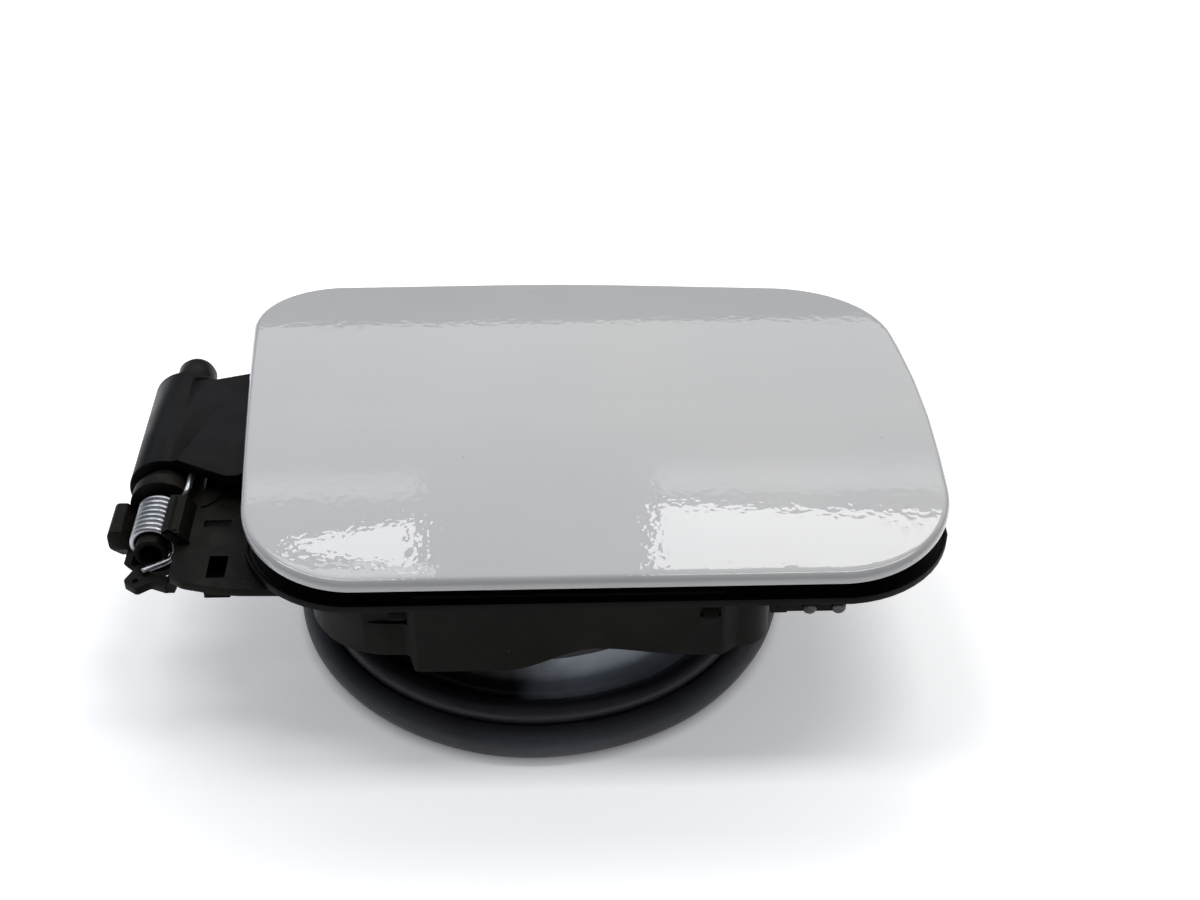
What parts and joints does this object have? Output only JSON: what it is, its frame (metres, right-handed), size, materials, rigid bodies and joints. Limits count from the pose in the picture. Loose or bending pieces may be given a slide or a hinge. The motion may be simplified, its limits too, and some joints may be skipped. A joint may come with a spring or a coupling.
{
  "type": "car fuel door",
  "caption": "Painted, crowned fuel door with rolled edge on a sprung side hinge, over a black moulded filler pot with flange seal, lock pocket and round rubber boot.",
  "frame": {"origin": "axis of the filler neck opening, on the plane that the rubber boot rests on", "axes": "+Z along the neck axis and out through the door, +X from the hinge to the free edge, Y along the hinge pin"},
  "size_m": [0.2331, 0.1494, 0.066],
  "materials": {
    "white_paint": "gloss clear coat",
    "housing_plastic": "satin moulded",
    "carrier_plastic": "satin moulded",
    "arm_plastic": "semi-gloss",
    "bush_plastic": "smooth",
    "seal_rubber": "satin",
    "boot_rubber": "matt with dust",
    "spring_wire": "zinc plated",
    "band_steel": "plain",
    "screw_steel": "plain",
    "black_steel": "black"
  },
  "bodies": {
    "housing": {"housing": "housing_plastic", "pot_floor": "housing_plastic", "hinge_frame": "housing_plastic", "lock_pocket": "housing_plastic", "lock_rail": "housing_plastic", "flange_seal": "seal_rubber", "boot": "boot_rubber", "boot_clamp": "band_steel", "lock_bush": "bush_plastic", "bracket_screw_1": "screw_steel", "bracket_screw_2": "screw_steel", "hinge_pin": "black_steel", "hinge_spring": "spring_wire"},
    "door": {"bush_near": "bush_plastic", "bush_far": "bush_plastic", "hinge_arm": "arm_plastic", "arm_screw_1": "screw_steel", "arm_screw_2": "screw_steel", "arm_screw_3": "screw_steel", "inner_panel": "carrier_plastic", "outer_skin": "white_paint", "cap_hook": "carrier_plastic", "lock_striker": "carrier_plastic", "rubber_stop_1": "seal_rubber", "rubber_stop_2": "seal_rubber"}
  },
  "joints": [
    {"name": "door_hinge", "type": "hinge", "parent": "housing", "child": "door", "pos_m": [-0.104, 0, 0.048], "axis": [0, -1, 0], "range_deg": [0, 100], "stiffness_Nm_per_rad": 0.03, "springref_deg": -28.65}
  ]
}
